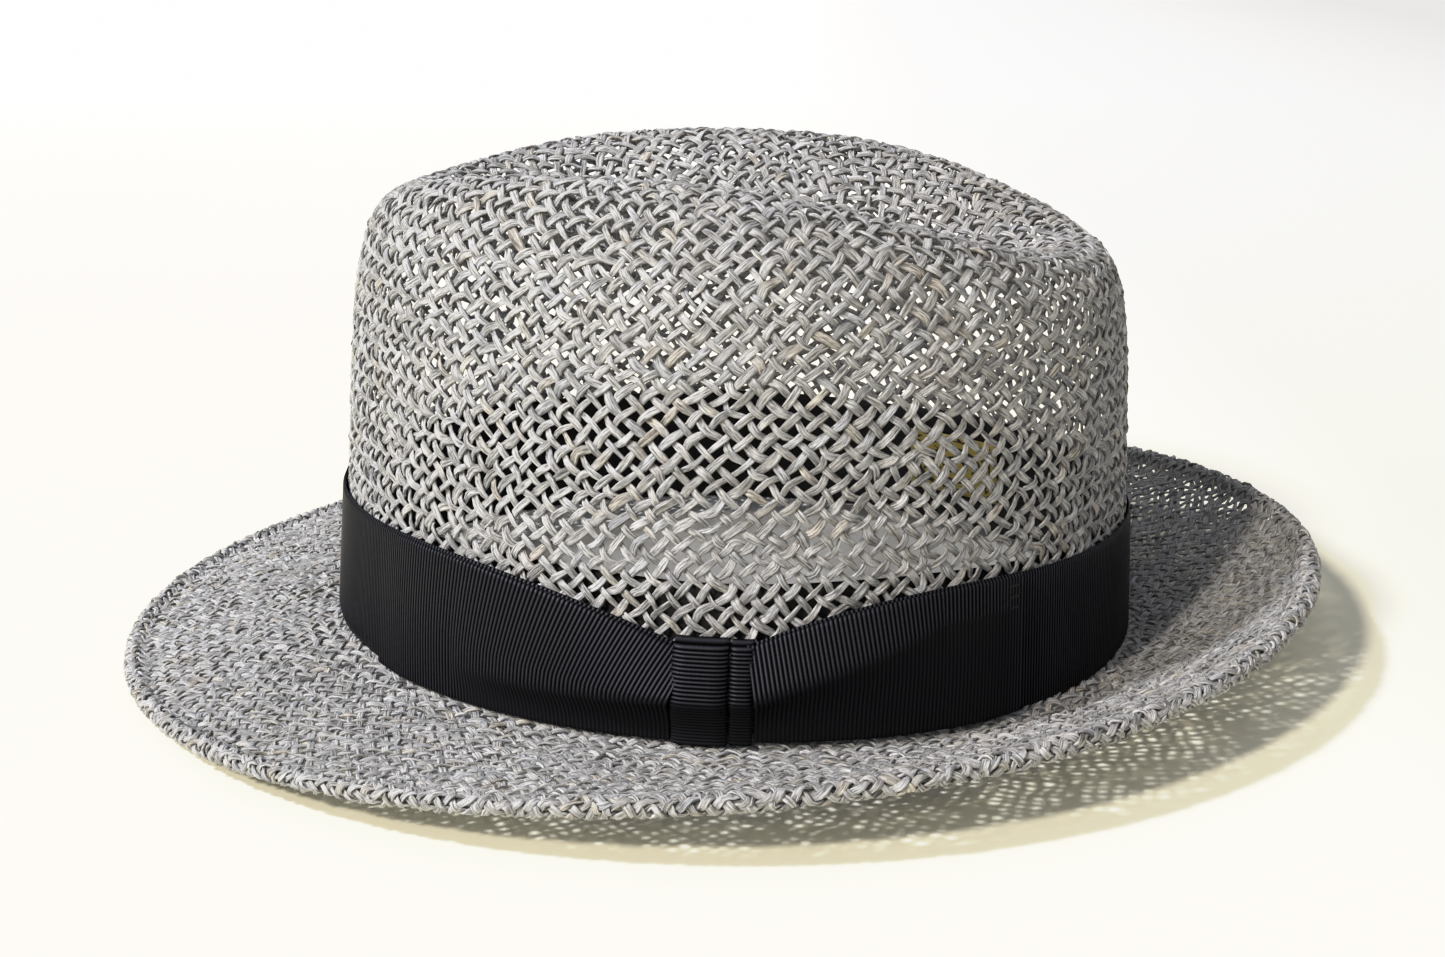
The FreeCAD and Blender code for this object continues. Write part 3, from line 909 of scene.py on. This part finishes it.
def ribbon(name, path, ribs, rows, node, shade=None):
    """Ribbed ribbon along path(s, t), with s along it and t across it; shade(s, t) is 1 where it is painted
    in shade.

    Returns the piece, its length and its width."""
    columns = ribs * RIB_STEPS + 1
    selvedge = SELVEDGE / rows
    t = np.concatenate([[0, selvedge], np.linspace(0, 1, rows)[1:-1], [1 - selvedge, 1]])[None, :]
    s, t = np.broadcast_arrays(np.linspace(0, 1, columns)[:, None], t)
    middle = path(s, t)
    step = 0.25 / columns
    normal = path_normal(path, s, t, np.maximum(s - step, 0), np.minimum(s + step, 1))
    at_edge = np.minimum(t, 1 - t) < selvedge * 0.5
    profile = RIB_PROFILE[np.arange(columns) % RIB_STEPS][:, None]
    half = np.where(at_edge, SELVEDGE_THICK, 1.0) * RIBBON_THICK / 2
    out = half + RIB_HEIGHT * np.where(at_edge, 0.0, profile)
    verts = shell_verts(middle, normal * out[..., None])
    long = np.linalg.norm(np.diff(middle[:, t.shape[1] // 2], axis=0), axis=1).sum()
    wide = np.linalg.norm(np.diff(middle[columns // 2], axis=0), axis=1).sum()
    # Share of painted shade at each vertex, carried to the material in the cloth attribute.
    painted_shade = shade(s, t) if shade else 0 * s
    cloth = np.stack([s * ribs, t * wide, painted_shade], -1).reshape(-1, 3)
    faces = shell_faces(columns, t.shape[1], False)
    obj = make_mesh(name, verts, faces, {"cloth": np.concatenate([cloth, cloth])})
    finish_piece(obj, RIBBON_MATERIAL, "ribbon", node)
    return obj, long * MM, wide * MM


def lerp(a, b, t):
    return a + (b - a) * t


def ease(x):
    x = np.clip(x, 0, 1)
    return x * x * (3 - 2 * x)


# ---------------------------------------------------------------- ribbon round the crown

BAND_RIBS = 515
BAND_LOW, BAND_HIGH, BAND_FRONT_DIP = 0.8, 33.9, 1.2
BAND_OUT, BAND_FLARE = 0.62, 1.3
BOW_FRONT, BOW_BACK, BOW_TUCK = -132.5, -38.5, 4.0


def band_path(s, t):
    """From under the back loop round the back, the far side and the front to under the front loop."""
    u = np.radians(lerp(BOW_BACK - BOW_TUCK, BOW_FRONT + BOW_TUCK + 360, s))
    high = BAND_HIGH - BAND_FRONT_DIP * np.cos(u / 2) ** 6
    low = BAND_LOW + 0.3 * np.sin(3 * u)
    flare = BAND_FLARE * np.clip(-np.cos(u), 0, 1) ** 6 * (1 - 0.6 * t)
    return wall_point(u, lerp(low, high, t), BAND_OUT + 0.06 * np.sin(5 * u) + flare)


band, band_long, band_wide = ribbon("hat_band_ribbon", band_path, BAND_RIBS, 9, "hat_band")


# ---------------------------------------------------------------- bow

KNOT_FRONT, KNOT_BACK, STRIP_BACK = -84.7, -78.0, -75.0
LOOP_OUT, LOOP_GAP, LOOP_GAP_FOLD = 1.35, 0.95, 0.55
LOOP_CROWN = 0.9
FOLD_START, FOLD_LENGTH = 0.49, 0.02
TOP_CURVE = 2.6
PLEAT_HOLLOW = 2.2


def tent(t, ridge, soft):
    """1 at the ridge, 0 at both selvedges: straight above the ridge, hollow below it."""
    above = np.clip((t - ridge) / (1 - ridge), 0, 1)
    below = np.clip(1 - t / ridge, 0, 1)
    d = np.where(t < ridge, 1 - (1 - below) ** PLEAT_HOLLOW, above)
    return 1 - (np.sqrt(d * d + soft * soft) - soft) / (math.sqrt(1 + soft * soft) - soft)


def loop_path(outer, knot, top, low, bulge, pleat, slant):
    """A flattened loop of ribbon: back layer out from the knot, fold, front layer back to it.

    top, low: heights of its selvedges at the fold and at the knot; pleat: where the gather starts, the
    ridge's height there and at the knot, and how far ahead it is painted in shade; slant: lean of the ribs."""
    (top_outer, top_knot), (low_outer, low_knot) = top, low
    start, ridge_start, ridge_knot, painted_shade_reach = pleat

    def top_at(near):
        return top_outer - (top_outer - top_knot) * near**TOP_CURVE

    def low_at(near):
        return low_outer + (low_knot - low_outer) * near

    def ridge_at(near):
        return lerp(ridge_start, ridge_knot, np.clip((near - start) / (1 - start), 0, 1))

    def path(s, t):
        on_back = np.clip(s / FOLD_START, 0, 1)
        on_front = np.clip((1 - s) / FOLD_START, 0, 1)
        away = np.where(s < 0.5, on_back, on_front)
        near = 1 - away
        lean = slant * ease((near - 0.2) / 0.65) * np.clip((t - 0.45) / 0.55, 0, 1) ** 1.1
        u = np.radians(lerp(knot, outer, away) + lean)
        high = top_at(np.clip(near + lean / (knot - outer), 0, 1))
        bottom = low_at(near)
        fold = np.clip((s - FOLD_START) / FOLD_LENGTH, 0, 1)
        gap = lerp(LOOP_GAP, LOOP_GAP_FOLD, np.exp(-(((s - 0.5) / 0.06) ** 2)))
        gather = np.clip((near - start) / (1 - start), 0, 1) ** 0.75
        puff = bulge * gather * tent(t, (ridge_at(near) - bottom) / (high - bottom), 0.07)
        puff = puff + LOOP_CROWN * np.sin(math.pi * near) * np.sin(math.pi * t)
        layer = lerp(LOOP_OUT, LOOP_OUT + 2 * gap, ease(fold))
        return wall_point(u, lerp(bottom, high, t), layer + np.where(s > 0.5, puff, 0.25 * puff) * fold)

    def shade(s, t):
        """The part under the pleat turns away from the light and is painted in shade: darker and with less
        shine.
        """
        near = 1 - np.clip((1 - s) / FOLD_START, 0, 1)
        height = lerp(low_at(near), top_at(near), t)
        under = ease((ridge_at(near) - height) / 1.6 + 0.6)
        return under * ease((near - start) / (1 - start) / 0.22 + painted_shade_reach) * (s > 0.5)

    return path, shade


def wrap_path(first, last, lift, high, low, bulge):
    """Ribbon over the gathered middle: s runs up the hat, t across it."""
    ridge = 0.49

    def path(s, t):
        u = np.radians(lerp(last, first, t))
        round_top = 1 - np.clip((s - 0.93) / 0.07, 0, 1) ** 2
        round_low = 1 - np.clip((0.05 - s) / 0.05, 0, 1) ** 2
        out = 1.0 + (lift + bulge * tent(s, ridge, 0.10)) * round_top * round_low
        edge = 1 - 0.18 * np.abs(2 * t - 1) ** 6
        return wall_point(u, lerp(low, high, s), out * edge)

    # Painted shade: the wrap is painted darker below its ridge.
    def shade(s, t):
        return ease((ridge - s) / 0.06 + 0.6) + 0 * t

    return path, shade


def loop(name, node, ribs, paths):
    """One loop of the bow."""
    path, shade = paths
    obj, long, _ = ribbon(name, path, ribs, 25, node, shade)


loop("bow_front_loop_ribbon", "bow_front_loop", 178, loop_path(
    BOW_FRONT, KNOT_FRONT - 0.2, top=(34.3, 22.4), low=(0.6, 1.0), bulge=5.8,
    pleat=(0.36, 9.0, 11.8, 0.25), slant=3.3))
loop("bow_back_loop_ribbon", "bow_back_loop", 136, loop_path(
    BOW_BACK, STRIP_BACK + 0.2, top=(33.5, 23.0), low=(1.6, 1.4), bulge=5.4,
    pleat=(0.34, 26.0, 12.2, 2.6), slant=-1.2))

knot_path, knot_shade = wrap_path(KNOT_FRONT, KNOT_BACK, lift=3.6, high=23.6, low=0.2, bulge=4.4)
strip_path, strip_shade = wrap_path(KNOT_BACK + 0.25, STRIP_BACK, lift=3.0, high=23.4, low=0.4, bulge=4.0)
knot, knot_long, knot_wide = ribbon("bow_knot_ribbon", knot_path, 29, 15, "bow_knot_wrap", knot_shade)
strip, _, _ = ribbon("bow_strip_ribbon", strip_path, 29, 7, "bow_knot_strip", strip_shade)


# ---------------------------------------------------------------- sweatband, its join tape and the label

SWEAT_LOW, SWEAT_HIGH, SWEAT_OUT = 0.8, 34.8, -2.15
TAPE_HALF_ANGLE, TAPE_LOW, TAPE_HIGH, TAPE_OUT = 5.5, 1.8, 34.2, -3.15
LABEL_FROM, LABEL_TO, LABEL_LOW, LABEL_HIGH, LABEL_OUT = 51.0, 69.0, 10.0, 28.0, -3.1
LABEL_COLUMNS, LABEL_ROWS = 24, 12


def sweat_path(s, t):
    u = s * TAU
    wave = 0.18 * np.sin(9 * u) * (t**2) + 0.12 * np.sin(17 * u + 1)
    high = SWEAT_HIGH + 0.35 * np.sin(7 * u + 2)
    return wall_point(u, lerp(SWEAT_LOW, high, t), SWEAT_OUT - 0.1 - np.abs(wave))


def tape_path(s, t):
    u = np.radians(lerp(-TAPE_HALF_ANGLE, TAPE_HALF_ANGLE, s))
    return wall_point(u, lerp(TAPE_LOW, TAPE_HIGH, t), TAPE_OUT)


def label_path(s, t):
    return wall_point(np.radians(lerp(LABEL_FROM, LABEL_TO, s)), lerp(LABEL_LOW, LABEL_HIGH, t), LABEL_OUT)


sweat = make_mesh("sweatband_cloth", *strip_shell(sweat_path, 288, 12, 0.55, True))
finish_piece(sweat, SWEAT_MATERIAL, "sweatband_cloth", "sweatband")

tape = make_mesh("join_tape", *strip_shell(tape_path, 16, 10, 0.35, False))
finish_piece(tape, SWEAT_MATERIAL, "sweatband_cloth", "sweatband_join_tape")

verts, faces = strip_shell(label_path, LABEL_COLUMNS, LABEL_ROWS, 0.25, False)
label_s, label_t = np.meshgrid(np.linspace(0, 1, LABEL_COLUMNS), np.linspace(0, 1, LABEL_ROWS), indexing="ij")
label_place = np.tile(np.stack([label_s, label_t, 0 * label_s], -1).reshape(-1, 3), (2, 1))
label = make_mesh("maker_label_cloth", verts, faces, {"cloth": label_place})
finish_piece(label, GOLD_MATERIAL, "label", "maker_label")

for node in ("ribbon_tacks", "sweatband_stitching"):
    finish_node(node, THREAD_MATERIAL)
finish_node("brim_wire", WIRE_MATERIAL)


# ---------------------------------------------------------------- floor, lights, camera

FLOOR_HALF_SIZE, FLOOR_DROP = 6.0, 0.0004
SHADE_UNDER_HAT_RADIUS = 0.125
WHITE = (1.0, 1.0, 1.0, 1)


def floor_material():
    """Cream table that passes into a paler backdrop behind the hat; both are painted greyer to the right as a
    painted fall-off of the light, and the table under the hat is painted neutral grey as painted shade.
    """
    m = Nodes("pale_floor")
    position = m.position()
    x, y, _ = m.separate(position)
    cloudy = m.noise(position, 3.0, 3.0, 0.5)
    table = m.ramp(cloudy, [(0.3, (0.925, 0.895, 0.715, 1)), (0.7, (0.94, 0.91, 0.735, 1))])
    # Painted fall-off of the light: the table is painted greyer to the right of the hat.
    sideways = m.plus(m.times(x, 0.97), m.times(y, 0.24))
    painted_falloff_right = m.math("MULTIPLY", m.math("SUBTRACT", sideways, 0.145), 14.0, clamp=True)
    table = m.mix(m.times(painted_falloff_right, 0.80), table, (0.68, 0.67, 0.60, 1))
    # Painted shade: the table under the hat is painted a neutral grey, as it looks in the hat's shadow.
    from_middle = m.add("ShaderNodeVectorMath", {0: position}, operation="LENGTH").outputs["Value"]
    painted_shade_under_hat = m.math("MULTIPLY", m.math("SUBTRACT", SHADE_UNDER_HAT_RADIUS, from_middle), 50.0, clamp=True)
    table = m.mix(painted_shade_under_hat, table, (0.80, 0.80, 0.80, 1))
    behind = m.math("MULTIPLY", m.math("SUBTRACT", y, 0.10), 0.8, clamp=True)
    # Painted fall-off of the light: the backdrop is painted greyer to the right.
    to_the_right = m.plus(m.times(x, 0.7), m.times(y, 0.14))
    backdrop = m.ramp(to_the_right, [(0.0, WHITE), (0.6, (0.56, 0.56, 0.545, 1))])
    m.set_shader(Base_Color=m.mix(behind, table, backdrop), Roughness=0.85, Specular_IOR_Level=0.1)
    return m.material


floor_mesh = bpy.data.meshes.new("floor")
corners = [(FLOOR_HALF_SIZE * x, FLOOR_HALF_SIZE * y, 0) for x, y in ((-1, -1), (1, -1), (1, 1), (-1, 1))]
floor_mesh.from_pydata(corners, [], [(0, 1, 2, 3)])
floor_mesh.materials.append(floor_material())
floor = bpy.data.objects.new("floor", floor_mesh)
bpy.context.scene.collection.objects.link(floor)
floor.location.z = -FLOOR_DROP

world = bpy.data.worlds.new("studio")
bpy.context.scene.world = world
world.use_nodes = True
background = world.node_tree.nodes["Background"]
background.inputs["Color"].default_value = (0.98, 1.0, 1.045, 1.0)
background.inputs["Strength"].default_value = 0.42


def sun(name, direction, strength, angle, colour):
    """Distant light that shines from a direction."""
    light = bpy.data.lights.new(name, "SUN")
    light.energy = strength
    light.angle = math.radians(angle)
    light.color = colour
    obj = bpy.data.objects.new(name, light)
    obj.rotation_euler = Vector(direction).to_track_quat("Z", "Y").to_euler()
    bpy.context.scene.collection.objects.link(obj)


sun("window", (-0.80, -0.47, 1.07), 3.12, 5.0, (0.98, 0.98, 1.02))
sun("lamp", (-0.60, -1.08, 1.02), 2.58, 6.0, (1.0, 0.92, 0.79))

# Camera in the hat's own frame: its place in mm, its heading from +Y, its tilt down and its roll.
CAMERA_PLACE = (114.54, -463.39, 190.83)
HEADING, PITCH, ROLL = 14.134, 17.14, 0.176
SENSOR_WIDTH, FOCAL_LENGTH = 36.0, 48.1


def camera_axes():
    """Directions to the right, up and forwards of the camera in the hat's own frame."""
    vertical = Vector((0, 0, 1))
    pitch, roll = math.radians(PITCH), math.radians(ROLL)
    level = Matrix.Rotation(math.radians(HEADING), 3, "Z") @ Vector((0, 1, 0))
    right = level.cross(vertical).normalized()
    forwards = level * math.cos(pitch) - vertical * math.sin(pitch)
    up = right.cross(forwards)
    rolled_right = right * math.cos(roll) + up * math.sin(roll)
    rolled_up = up * math.cos(roll) - right * math.sin(roll)
    return rolled_right, rolled_up, forwards


camera_data = bpy.data.cameras.new("camera")
camera_data.sensor_width = SENSOR_WIDTH
camera_data.lens = FOCAL_LENGTH
camera = bpy.data.objects.new("camera", camera_data)
bpy.context.scene.collection.objects.link(camera)
bpy.context.scene.camera = camera
right, up, forwards = camera_axes()
lean = Matrix.Rotation(REST_TILT, 3, "Y")
camera_place = (lean @ Vector(CAMERA_PLACE) + Vector(SHIFT)) * MM
facing = lean @ Matrix((right, up, -forwards)).transposed()
camera.matrix_world = Matrix.Translation(camera_place) @ facing.to_4x4()

# Highlights roll off like film: brightness up to 0.75 stays, twice full white comes out as white.
BRIGHTEST = 2.0
SHOULDER = [(0.375, 0.75), (0.59, 0.925), (0.74, 0.966), (0.785, 0.996)]
view = bpy.context.scene.view_settings
view.view_transform = "Standard"
view.use_curve_mapping = True
view.curve_mapping.white_level = (BRIGHTEST, BRIGHTEST, BRIGHTEST)
combined = view.curve_mapping.curves[3]
for at, value in SHOULDER:
    combined.points.new(at, value)
for point in combined.points:
    point.handle_type = "VECTOR"
view.curve_mapping.update()
